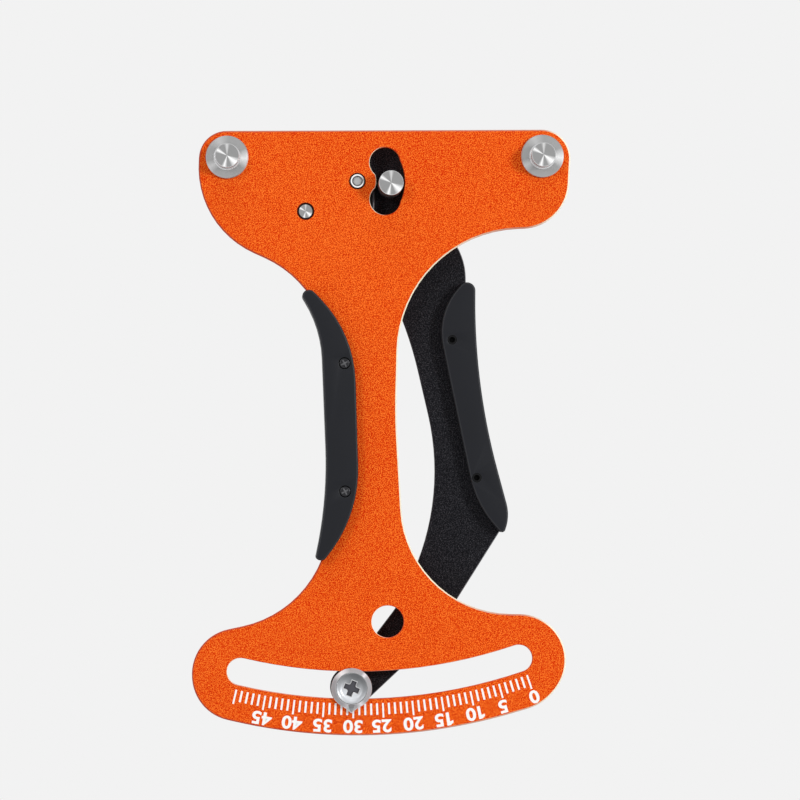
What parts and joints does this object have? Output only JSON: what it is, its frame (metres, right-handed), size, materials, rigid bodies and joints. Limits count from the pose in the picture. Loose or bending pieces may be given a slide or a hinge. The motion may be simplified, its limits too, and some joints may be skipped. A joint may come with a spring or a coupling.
{
  "type": "spoke tension meter",
  "caption": "Hand tool that bends a spoke between two fixed posts and a sprung post, and shows its tension by a pointer on a curved scale.",
  "frame": {"origin": "middle of the spoke's centre line, halfway between the two fixed posts", "axes": "+X along the spoke to the right as the user reads the scale, +Z from the scale up to the posts, -Y out of the tool's face towards the user"},
  "size_m": [0.1271, 0.0285, 0.2017],
  "materials": {
    "anodised_orange": "bead-blasted aluminium, anodised orange, with bright broken edges",
    "anodised_black": "bead-blasted aluminium, anodised black",
    "stainless": "turned stainless steel with fine rings",
    "spring_steel": "dark oil-tempered spring wire",
    "brass": "turned bearing brass",
    "nylon": "plain natural nylon",
    "grip_plastic": "finely grained moulded plastic",
    "black_screw": "black oxide steel",
    "scale_white": "white printing of the scale"
  },
  "bodies": {
    "frame": {"front_plate": "anodised_orange", "left_post": "stainless", "right_post": "stainless", "post_screws": "stainless", "pivot_bolt": "stainless", "pivot_spacer": "stainless", "thrust_washer": "nylon", "spring_pin": "stainless", "torsion_spring": "spring_steel", "frame_grip_front": "grip_plastic", "frame_grip_rear": "grip_plastic", "frame_grip_screws": "black_screw", "frame_grip_nuts": "stainless"},
    "arm": {"swing_arm": "anodised_black", "arm_bushing": "brass", "moving_post": "stainless", "moving_post_screw": "stainless", "arm_spring_pin": "stainless", "arm_grip_front": "grip_plastic", "arm_grip_rear": "grip_plastic", "arm_grip_screws": "black_screw", "arm_grip_inserts": "black_screw", "pointer": "stainless", "pointer_screw": "stainless", "pointer_spacer": "stainless", "pointer_washer": "stainless", "pointer_nut": "stainless"}
  },
  "joints": [
    {"name": "arm_swing", "type": "hinge", "parent": "frame", "child": "arm", "pos_m": [-0.0092, 0, -0.0031], "axis": [0, -1, 0], "range_deg": [-12.8, 19.4], "stiffness_Nm_per_rad": 1.28, "deforming": ["torsion_spring"]}
  ]
}
